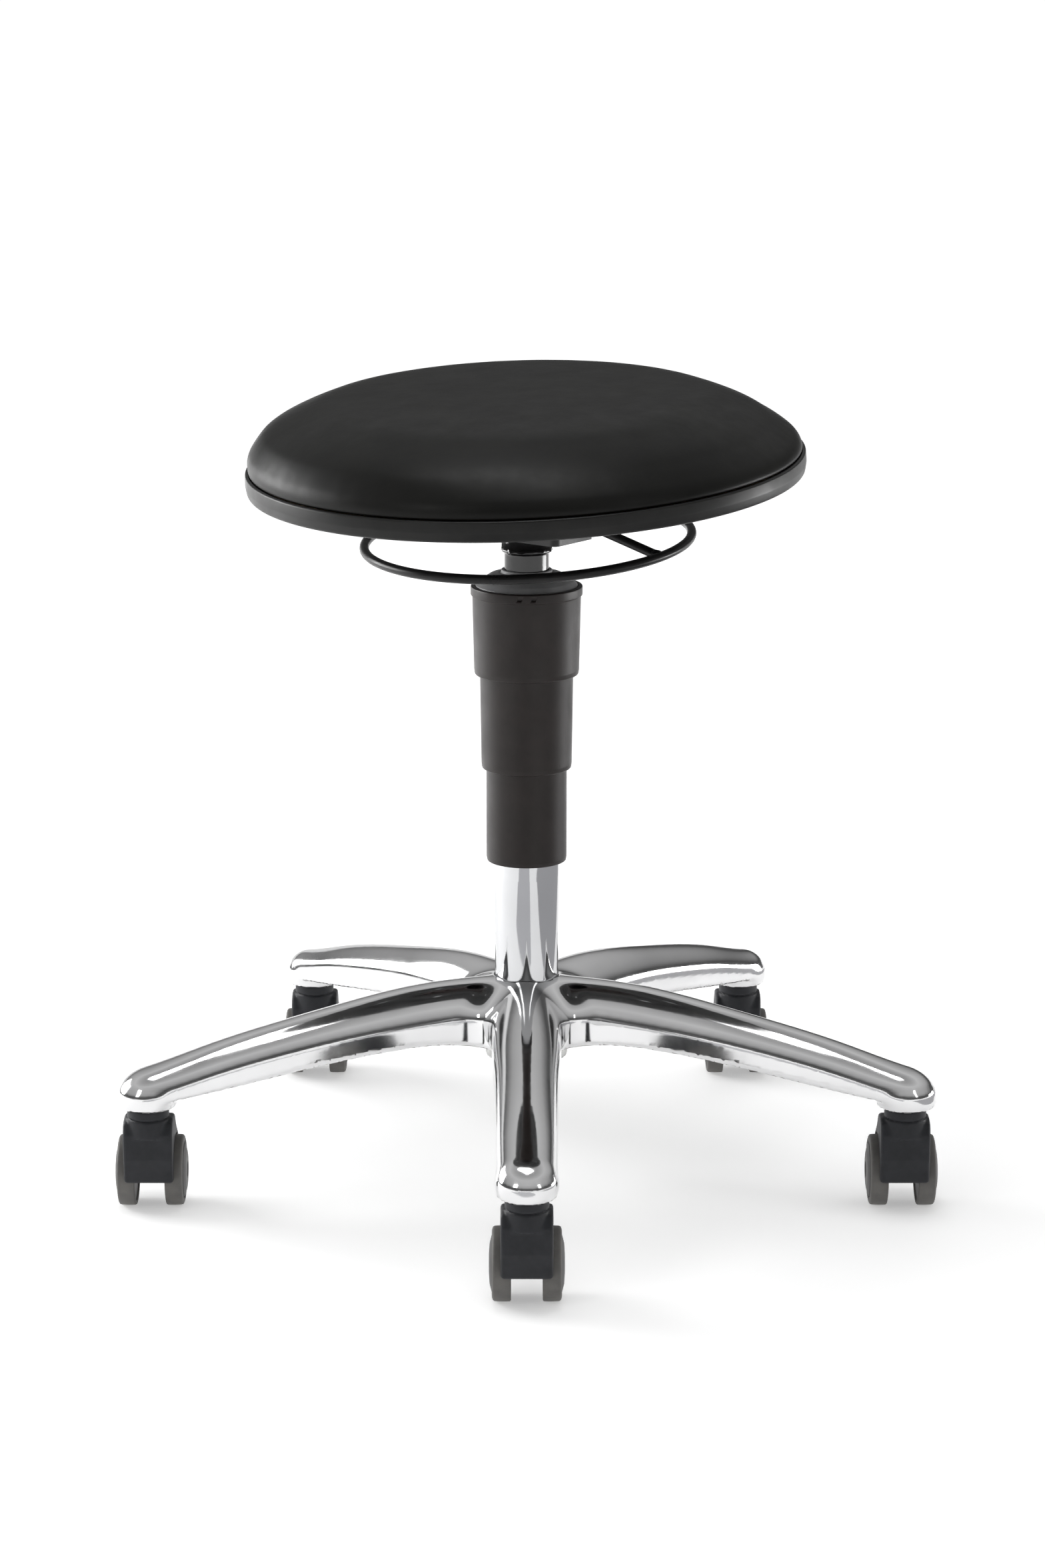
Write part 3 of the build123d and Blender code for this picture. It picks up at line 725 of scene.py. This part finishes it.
def inflate(obj):
    """Cloth simulation: the sewn edge is held and the leather swells over the foam.

    It runs on an even copy of the mesh, and its swelling is carried back to the turned one.
    """
    bare = obj.data
    obj.data = bare.copy()
    remesh = obj.modifiers.new("remesh", "REMESH")
    remesh.mode, remesh.voxel_size = "VOXEL", CLOTH_VOXEL * MM
    obj.data = applied(obj)
    obj.modifiers.clear()
    rest = np.array([v.co for v in obj.data.vertices])
    held = obj.vertex_groups.new(name="sewn_edge")
    edge_z = (CUSHION_LOW + 7) * MM
    held.add([i for i, p in enumerate(rest) if p[2] < edge_z], 1.0, "REPLACE")
    cloth = obj.modifiers.new("cloth", "CLOTH")
    cloth.settings.use_pressure = True
    cloth.settings.uniform_pressure_force = CLOTH_PRESSURE
    cloth.settings.effector_weights.gravity = 0
    cloth.settings.vertex_group_mass = held.name
    cloth.settings.tension_stiffness = 25
    cloth.settings.compression_stiffness = 25
    cloth.settings.bending_stiffness = 2
    scene = bpy.context.scene
    for at in range(1, CLOTH_STEPS + 1):
        scene.frame_set(at)
    deps = bpy.context.evaluated_depsgraph_get()
    swollen = np.array([v.co for v in obj.evaluated_get(deps).data.vertices])
    obj.modifiers.clear()
    obj.vertex_groups.clear()
    scene.frame_set(1)
    shift = evened(obj.data, swollen - rest, EVEN_ROUNDS)
    size = np.linalg.norm(shift, axis=1, keepdims=True)
    shift *= np.minimum(1, SWELL_CAP * MM / np.maximum(size, 1e-9))
    near = KDTree(len(rest))
    for i, point in enumerate(rest):
        near.insert(point, i)
    near.balance()
    for vertex in bare.vertices:
        around = [i for _, i, _ in near.find_n(vertex.co, 6)]
        vertex.co += Vector(shift[around].mean(axis=0))
    obj.data = bare


def dress_cushion(obj):
    """Leather over foam: faint hollows, and short gathers above the sewn edge."""
    subdivide = obj.modifiers.new("fine", "SUBSURF")
    subdivide.levels = subdivide.render_levels = 1
    obj.data = applied(obj)
    obj.modifiers.clear()
    top, edge = CUSHION_HIGH * MM, (CUSHION_LOW + EDGE_RISE) * MM
    for vertex in obj.data.vertices:
        p = vertex.co
        radial = Vector((p.x, p.y, 0))
        reach = max(radial.length, 1e-6)
        angle = np.arctan2(p.y, p.x)
        near_edge = max(0.0, 1 - abs(p.z - edge - GATHER_HEIGHT * MM) / (GATHER_SPREAD * MM))
        gather = noise.noise(Vector((cos(angle) * 14, sin(angle) * 14, p.z * 18)))
        broad = noise.noise(Vector((p.x * 7, p.y * 7, 2.0)))
        if p.z > edge:
            p += radial / reach * (gather * near_edge * GATHER_DEPTH * MM)
            p.z += broad * HOLLOW_DEPTH * MM * min(1, (p.z - edge) / 0.02)
        p.z = min(p.z, top)
    obj.data.polygons.foreach_set("use_smooth", [True] * len(obj.data.polygons))
    obj.data.update()


make_cushion()


def make_band():
    bottom, top, outer = level_size("seat_band")
    inner = CUSHION_R - 5
    outline = rounded([
        (inner, bottom, 0.5), (outer - 1.2, bottom, 4.5), (outer, bottom + 7, 6),
        (outer - 0.4, top - 0.2, 1.6), (outer - 2.6, top + 0.2, 0.6), (outer - 3.6, top - 0.8, 0.4),
        (inner, top - 1.2, 0.3),
    ])
    mesh = lathe("seat_edge_band", outline, 192)
    mesh.transform(SEATED)
    piece("seat_edge_band", mesh, "seat", ["seat_band"], [BAND])


make_band()


# =============================================================== telescopic cover and cap
COVER_WALL = 1.5
SHELL_SEGMENTS = 128
SLOT_SIDE, SLOT_DROP, SLOT_SIZE = 5, 3.6, (3.0, 2.2, 1.4)


def cover_sizes(node):
    """Bottom, top, outer radius at the foot and inner radius of its lip, of one cover section."""
    bottom, top = low(node).z / MM, high(node).z / MM
    coords = np.array([v.co for v in NODES[node].data.vertices]) / MM
    reach = np.hypot(coords[:, 0], coords[:, 1])
    foot = reach[coords[:, 2] < bottom + 3].max()
    lip = reach[coords[:, 2] < bottom + 0.1].min()
    return bottom, top, foot, lip


def cover_shell(node, body, corners):
    mesh = lathe(f"{node}_shell", rounded(corners), SHELL_SEGMENTS)
    return piece(f"{node}_shell", mesh, body, [node], [COVER])


def make_upper_cover():
    bottom, top, foot, lip = cover_sizes("cover_upper")
    rim_r = radius_of("cover_upper") / MM
    rim_low = top - 7
    crown = rim_r - 1.15
    obj = cover_shell("cover_upper", "column_head", [
        (lip, bottom + 0.1, 0.5), (foot - 0.4, bottom, 1.6), (foot + 0.1, bottom + 4, 3),
        (crown, rim_low - 0.2, 0.6), (rim_r, rim_low + 0.3, 0.9), (rim_r, top, 1.0),
        (rim_r - 3.2, top, 0.7), (rim_r - 3.4, top - 3.9, 0.3), (rim_r - 5.3, top - 4, 0.3),
        (rim_r - 5.3, top - 6, 0.3), (crown - COVER_WALL, top - 6.2, 0.3),
        (foot - COVER_WALL, bottom + 2, 0.3), (lip, bottom + 2, 0.3),
    ])
    slots = bmesh.new()
    for x in (-SLOT_SIDE, SLOT_SIDE):
        place = Matrix.Translation(Vector((x, -rim_r, top - SLOT_DROP)) * MM)
        size = Matrix.Diagonal((*(side * MM for side in SLOT_SIZE), 1))
        bmesh.ops.create_cube(slots, size=1, matrix=place @ size)
    slot_mesh = bpy.data.meshes.new("rim_slots")
    slots.to_mesh(slot_mesh)
    slots.free()
    cut(obj, in_scene("rim_slots", slot_mesh))


def make_middle_cover():
    bottom, top, foot, lip = cover_sizes("cover_middle")
    flange = radius_of("cover_middle") / MM
    cover_shell("cover_middle", "cover_middle", [
        (lip, bottom + 0.1, 0.5), (foot - 0.4, bottom, 1.6), (foot + 0.05, bottom + 4, 3),
        (foot + 1, top - 2.2, 0.3), (flange, top - 2, 0.4), (flange, top, 0.4),
        (foot + 1 - COVER_WALL, top, 0.4), (foot - COVER_WALL, bottom + 2, 0.3),
        (lip, bottom + 2, 0.3),
    ])


def make_lower_cover():
    bottom, top, foot, _ = cover_sizes("cover_lower")
    flange = radius_of("cover_lower") / MM
    cover_shell("cover_lower", "cover_lower", [
        (foot - COVER_WALL, bottom + 0.2, 0.6), (foot - 0.5, bottom, 1.4), (foot, bottom + 3, 2),
        (foot, top - 2.2, 0.3), (flange, top - 2, 0.4), (flange, top, 0.4),
        (foot - COVER_WALL, top, 0.4),
    ])


def make_cap():
    bottom, top = low("cover_cap").z / MM, high("cover_cap").z / MM
    outer, bore = radius_of("cover_cap") / MM - 0.2, radius_of("cone_socket") / MM - 2.05
    peak = top - 2.5
    outline = rounded([
        (outer, bottom, 0.3), (outer, bottom + 4.4, 1.2), (outer - 3, bottom + 7.4, 4),
        (outer - 11, peak - 0.9, 9), (20.5, peak, 1.0), (19.2, peak - 0.3, 0.4),
        (18.6, peak + 0.3, 0.4), (18.5, top, 1.0), (bore, top, 0.4), (bore, peak - 2.5, 0.3),
        (24.5, peak - 2.5, 2), (outer - 2, bottom + 2.5, 1), (outer - 2, bottom, 0.3),
    ])
    mesh = lathe("column_cap_dome", outline, SHELL_SEGMENTS)
    piece("column_cap_dome", mesh, "column_head", ["cover_cap"], [CAP])


make_upper_cover()
make_middle_cover()
make_lower_cover()
make_cap()


# =============================================================== cone socket, ring and cross bar
def make_socket():
    bottom, top = low("cone_socket").z / MM, high("cone_socket").z / MM
    collar = radius_of("cone_socket") / MM
    neck, collar_low, bore = collar - 2.1, top - 10.5, collar - 5

    def weld(angle, r, h):
        """Uneven weld beads along the collar's lower edge."""
        count, depth, spread = 13, 0.9, 1.8
        uneven = noise.noise(Vector((cos(angle) * 3, sin(angle) * 3, h * 90)))
        beads = max(0, sin(angle * count) * 0.5 + uneven)
        close = max(0, 1 - abs(h / MM - collar_low - 0.6) / spread)
        return beads * close * depth * MM if r / MM > neck - 1 else 0

    middle = [(neck, h, 0) for h in np.linspace(bottom + 6, collar_low - 3, 5)]
    outline = rounded([
        (bore, bottom, 0.2), (neck, bottom, 0.8), *middle, (neck, collar_low - 1.2, 0.6),
        (neck + 0.9, collar_low - 0.3, 0.5), (collar, collar_low + 0.5, 0.8),
        (collar, collar_low + 3, 0.5), (collar, top, 0.5), (bore, top, 0.2),
    ])
    mesh = lathe("cone_socket_tube", outline, 144, wobble=weld)
    piece("cone_socket_tube", mesh, "column_head", ["cone_socket"], [ENAMEL])


make_socket()

RING_ROLL = radians(4.5)
BAR_Z, RING_Z = 500 * MM, 482 * MM
ROD_R, RING_R = 3.5 * MM, 118.5 * MM
BAR_BEND = 50 * MM
HANGING = (
    Matrix.Rotation(BAR_AZIMUTH, 4, "Z") @ Matrix.Translation((0, 0, BAR_Z))
    @ Matrix.Rotation(RING_ROLL, 4, "X") @ Matrix.Translation((0, 0, -BAR_Z))
)


def make_ring():
    """Closed ring of round rod."""
    around, across = 240, 20
    points, faces = [], []
    for i in range(around):
        a = 2 * pi * i / around
        for j in range(across):
            b = 2 * pi * j / across
            reach = RING_R + ROD_R * cos(b)
            points.append((reach * cos(a), reach * sin(a), RING_Z + ROD_R * sin(b)))
    for i in range(around):
        for j in range(across):
            a, b = i * across, ((i + 1) % around) * across
            k = (j + 1) % across
            faces.append((a + j, b + j, b + k, a + k))
    mesh = mesh_of("release_ring_rod", points, faces)
    mesh.transform(HANGING)
    piece("release_ring_rod", mesh, "release_ring", ["release_ring"], [RING_PAINT])


def bar_path():
    """Straight middle with soft bends down to the ring."""
    drop = (BAR_Z - RING_Z) / (RING_R - BAR_BEND)
    bend = 5 * MM
    line = []
    for x in np.linspace(-RING_R + 1.5 * MM, RING_R - 1.5 * MM, 81):
        over = abs(x) - BAR_BEND
        soft = 0.5 * (over + np.hypot(over, bend)) - bend * 0.08
        line.append(Vector((x, 0, BAR_Z - drop * max(soft, 0))))
    return line


def make_crossbar():
    """Bent rod with a lumpy weld where each end meets the ring."""
    mesh = tube("ring_crossbar_rod", bar_path(), ROD_R * 0.97)
    whole = bmesh.new()
    whole.from_mesh(mesh)
    for side in (-1, 1):
        place = Matrix.Translation((side * (RING_R - 3.4 * MM), 0, RING_Z + 0.6 * MM))
        stretch = Matrix.Diagonal((4.6 * MM, 4.9 * MM, 4.2 * MM, 1))
        made = bmesh.ops.create_icosphere(whole, subdivisions=3, radius=1, matrix=place @ stretch)
        centre = place.translation
        for vertex in made["verts"]:
            lump = noise.noise(vertex.co * 420)
            vertex.co = centre + (vertex.co - centre) * (1 + 0.16 * lump)
    for face in whole.faces:
        face.smooth = True
    whole.to_mesh(mesh)
    whole.free()
    mesh.transform(HANGING)
    piece("ring_crossbar_rod", mesh, "release_ring", ["ring_crossbar"], [RING_PAINT])


make_ring()
make_crossbar()


# =============================================================== casters
TRAIL, WHEEL_R = 22.0, 26.0
WELL_R, FENDER_R, HOOD_HALF, WEB_HALF = 27.0, 30.0, 18.0, 9.8
HOOD_ROUNDING = 3
HOOD_SIDE = [
    (-5, 30), (-8, 44), (-8, 62), (-5, 68), (1, 70), (10, 70), (17, 68), (24, 60), (40, 44),
    (TRAIL, WHEEL_R),
]
KEEL_R, KEEL_TOP = 24, 30
NECK_R, NECK_LOW, NECK_TOP = 15.2, 60, 81.4
GROOVE_Z, GROOVE_HALF, GROOVE_R = 74, 0.5, 13.9
HOOD_BOX = (-18, -16.5, 17), (18, 52, 82)


def polygon_distance(y, z, corners):
    """Signed distance to a closed polygon in the (y, z) plane."""
    distance, inside = np.full(y.shape, 1e9), np.zeros(y.shape, bool)
    for (ay, az), (by, bz) in zip(corners, corners[1:] + corners[:1]):
        ey, ez = by - ay, bz - az
        t = np.clip(((y - ay) * ey + (z - az) * ez) / (ey * ey + ez * ez), 0, 1)
        distance = np.minimum(distance, np.hypot(y - ay - t * ey, z - az - t * ez))
        crosses = (az > z) != (bz > z)
        inside ^= crosses & (y < ey * (z - az) / (ez if ez else 1e-9) + ay)
    return np.where(inside, -distance, distance)


def hood_field(x, y, z):
    """Hood with a fender over the wheels, a keel between them and a grooved neck."""
    wheel, stem = np.hypot(y - TRAIL, z - WHEEL_R), np.hypot(x, y)
    block = polygon_distance(y, z, HOOD_SIDE) - HOOD_ROUNDING
    fender_low = (8 - (z - WHEEL_R)) * 0.9 - (TRAIL - y) * 0.1 - 4
    fender = smax(wheel - FENDER_R, fender_low, 2)
    body = smax(smin(block, fender, 6), np.abs(x) - HOOD_HALF, 3)
    keel = smax(smax(wheel - KEEL_R, z - KEEL_TOP, 3), np.abs(x) - WEB_HALF, 1.5)
    keel = smax(keel, np.abs(y - TRAIL) * 0.55 + (18 - z) - 2, 3)
    body = smin(body, keel, 2)
    well = smax(wheel - WELL_R, WEB_HALF - np.abs(x), 1.2)
    body = smax(body, -well, 1.2)
    neck = smax(smax(stem - NECK_R, z - NECK_TOP, 1.2), NECK_LOW - z, 1)
    groove = smax(np.abs(z - GROOVE_Z) - GROOVE_HALF, GROOVE_R - stem, 0.3)
    return smax(smin(body, neck, 1.6), -groove, 0.6)


def wheel_mesh(name, side):
    """Soft tread around a dished disc with a ring groove; side is the sign of the outer face."""
    axle_r, axle_end = 3.05, 23.0
    corners = [
        (axle_r, 10.8, 0), (9, 10.8, 0.6), (9.4, 12.2, 0.6), (22.6, 12.2, 0.6), (23.2, 10.9, 0.6),
        (25.9, 10.9, 1.5), (26.0, 17, 0), (25.7, 23.3, 5), (22.4, 24.1, 0.8), (21.2, 23.3, 0.5),
        (20.6, 22.3, 0.4), (19.9, 22.4, 0.4), (19.5, 24.2, 0.8), (14, 25.6, 6), (6.5, 26.1, 2),
        (5.6, 25.2, 0.5), (0, 25.0, 0),
    ]
    hole = [Vector((0, axle_end)) * MM, Vector((axle_r, axle_end)) * MM]
    mesh = lathe(name, [*rounded(corners, 4), *hole], 72, axis="X")
    for material in (TREAD, DISC):
        mesh.materials.append(material)
    disc_r = 22.2
    reach = [np.hypot(*p.center[1:]) / MM for p in mesh.polygons]
    mesh.polygons.foreach_set("material_index", [int(r < disc_r) for r in reach])
    mesh.transform(Matrix.Translation((0, TRAIL * MM, WHEEL_R * MM)))
    if side < 0:
        mesh.transform(Matrix.Diagonal((-1, 1, 1, 1)))
        mesh.flip_normals()
    return mesh


def make_casters():
    hood = field_mesh("caster_hood_shell", hood_field, *HOOD_BOX, 1.1, rounds=1)
    wheels = {"left": wheel_mesh("left_wheel_tyre", -1), "right": wheel_mesh("right_wheel_tyre", 1)}
    for i, place in enumerate(STEM_PLACES, start=1):
        replaced = [f"caster_hood_{i}"]
        name = f"caster_hood_shell_{i}"
        piece(name, hood, f"caster_{i}", replaced, [HOOD], place)
        for side, mesh in wheels.items():
            name = f"wheel_{side}_{i}"
            piece(f"{side}_wheel_tyre_{i}", mesh, name, [name], [], place)


make_casters()


# =============================================================== floor, light and camera
FLOOR_X, FLOOR_NEAR, FLOOR_FAR = 60, -20, 90
GLOW_NEAR, GLOW_FAR = (0.4, 0.36), (3.2, 0.66)
WALL_REACH, WALL_HEIGHT, WALL_SIDES = 14, 24, 64
FLAG_HEIGHT = 0.002
MIDDLE = (0, 0, 0.35)
SKY = ((0.0, 0.12), (0.2, 0.08), (0.42, 0.4), (0.75, 0.6), (1.0, 0.3))
CAMERA_BACK, CAMERA_HEIGHT, CAMERA_SIDE = 2.933, 1.0017, -0.003
CAMERA_PITCH, CAMERA_LENS = 0.2348, 94.45


def flat(name, left, right, near, far, height):
    """Level rectangle."""
    corners = [(left, near), (right, near), (right, far), (left, far)]
    return mesh_of(name, [(x, y, height) for x, y in corners], [(0, 1, 2, 3)], False)


def make_floor():
    """Pale floor that glows a little, and more so away from the stool."""
    mesh = flat("floor", -FLOOR_X, FLOOR_X, FLOOR_NEAR, FLOOR_FAR, 0)
    look = Look("floor_white", (0.9, 0.9, 0.9), 0.7)
    look.set(Emission_Color=(1, 1, 1, 1), Specular_IOR_Level=0.1)
    away = look.add("VectorMath", Vector=look.coords)
    away.operation = "LENGTH"
    (start, dim), (end, bright) = GLOW_NEAR, GLOW_FAR
    look.link(look.ramp(away.outputs["Value"], start, end, dim, bright), "Emission Strength")
    mesh.materials.append(look.mat)
    in_scene("floor", mesh)


def make_card(mesh, color, strength):
    """Stage object that glows evenly and reflects nothing."""
    look = Look(mesh.name, (0, 0, 0), 1.0)
    look.set(Emission_Color=(*color, 1), Emission_Strength=strength, Specular_IOR_Level=0.0)
    mesh.materials.append(look.mat)
    card = in_scene(mesh.name, mesh)
    card.visible_diffuse = card.visible_shadow = False
    return card


def make_backdrop():
    """White studio wall around the stool that only the camera sees."""
    count = WALL_SIDES
    around = [2 * pi * i / count for i in range(count)]
    points = [
        (WALL_REACH * cos(a), WALL_REACH * sin(a), z) for z in (-1, WALL_HEIGHT) for a in around
    ]
    faces = [(i, (i + 1) % count, (i + 1) % count + count, i + count) for i in range(count)]
    wall = make_card(mesh_of("backdrop", points, faces, False), (1, 1, 1), 1.02)
    wall.visible_glossy = wall.visible_transmission = False


def make_flag(name, left, right, near, far, tone):
    """Grey card flat on the floor that only reflections see, to draw streaks on the metal."""
    mesh = flat(name, left, right, near, far, FLAG_HEIGHT)
    make_card(mesh, (tone, tone, tone * 1.03), 1.0).visible_camera = False


def area_light(name, place, target, size, power):
    light = bpy.data.lights.new(name, "AREA")
    light.shape, light.size, light.size_y = "RECTANGLE", size[0], size[1]
    light.energy = power
    obj = in_scene(name, light)
    obj.location = place
    obj.rotation_euler = (Vector(target) - Vector(place)).to_track_quat("-Z", "Y").to_euler()
    obj.visible_camera = False


def make_world():
    """Dim near the horizon, brighter above it, like a studio with a lit ceiling."""
    world = bpy.data.worlds.new("studio")
    bpy.context.scene.world = world
    world.use_nodes = True
    nodes, links = world.node_tree.nodes, world.node_tree.links
    direction = nodes.new("ShaderNodeTexCoord").outputs["Generated"]
    split = nodes.new("ShaderNodeSeparateXYZ")
    ramp = nodes.new("ShaderNodeValToRGB")
    while len(ramp.color_ramp.elements) < len(SKY):
        ramp.color_ramp.elements.new(0.5)
    for element, (height, tone) in zip(ramp.color_ramp.elements, SKY):
        element.position, element.color = height, (tone, tone, tone, 1)
    links.new(direction, split.inputs["Vector"])
    links.new(split.outputs["Z"], ramp.inputs["Fac"])
    links.new(ramp.outputs["Color"], nodes["Background"].inputs["Color"])


make_floor()
make_backdrop()
make_flag("flag_front", -0.42, 0.16, -1.25, -0.55, 0.62)
make_flag("flag_right", 0.5, 1.25, -0.75, 0.9, 0.45)
area_light("key_left", (-2.0, 0.8, 0.82), MIDDLE, (1.4, 1.0), 40)
area_light("overhead", (-0.1, -0.1, 2.6), MIDDLE, (1.3, 0.9), 17)
area_light("side_right_low", (2.1, 0.6, 0.1), (0, 0, 0.3), (1.1, 0.5), 17)
area_light("back_low", (-0.9, 2.4, 0.36), (0, 0, 0.2), (2.6, 0.7), 4)
area_light("front_left", (-1.9, -2.2, 1.5), MIDDLE, (0.7, 1.0), 7)
area_light("front_right", (1.9, -2.0, 1.3), MIDDLE, (0.4, 1.0), 3)
make_world()
bpy.context.scene.view_settings.view_transform = "Standard"

camera = in_scene("camera", bpy.data.cameras.new("camera"))
camera.location = (CAMERA_SIDE, -CAMERA_BACK, CAMERA_HEIGHT)
camera.rotation_euler = (pi / 2 - CAMERA_PITCH, 0, 0)
camera.data.sensor_width = 36
camera.data.lens = CAMERA_LENS
camera.data.clip_end = 200
bpy.context.scene.camera = camera
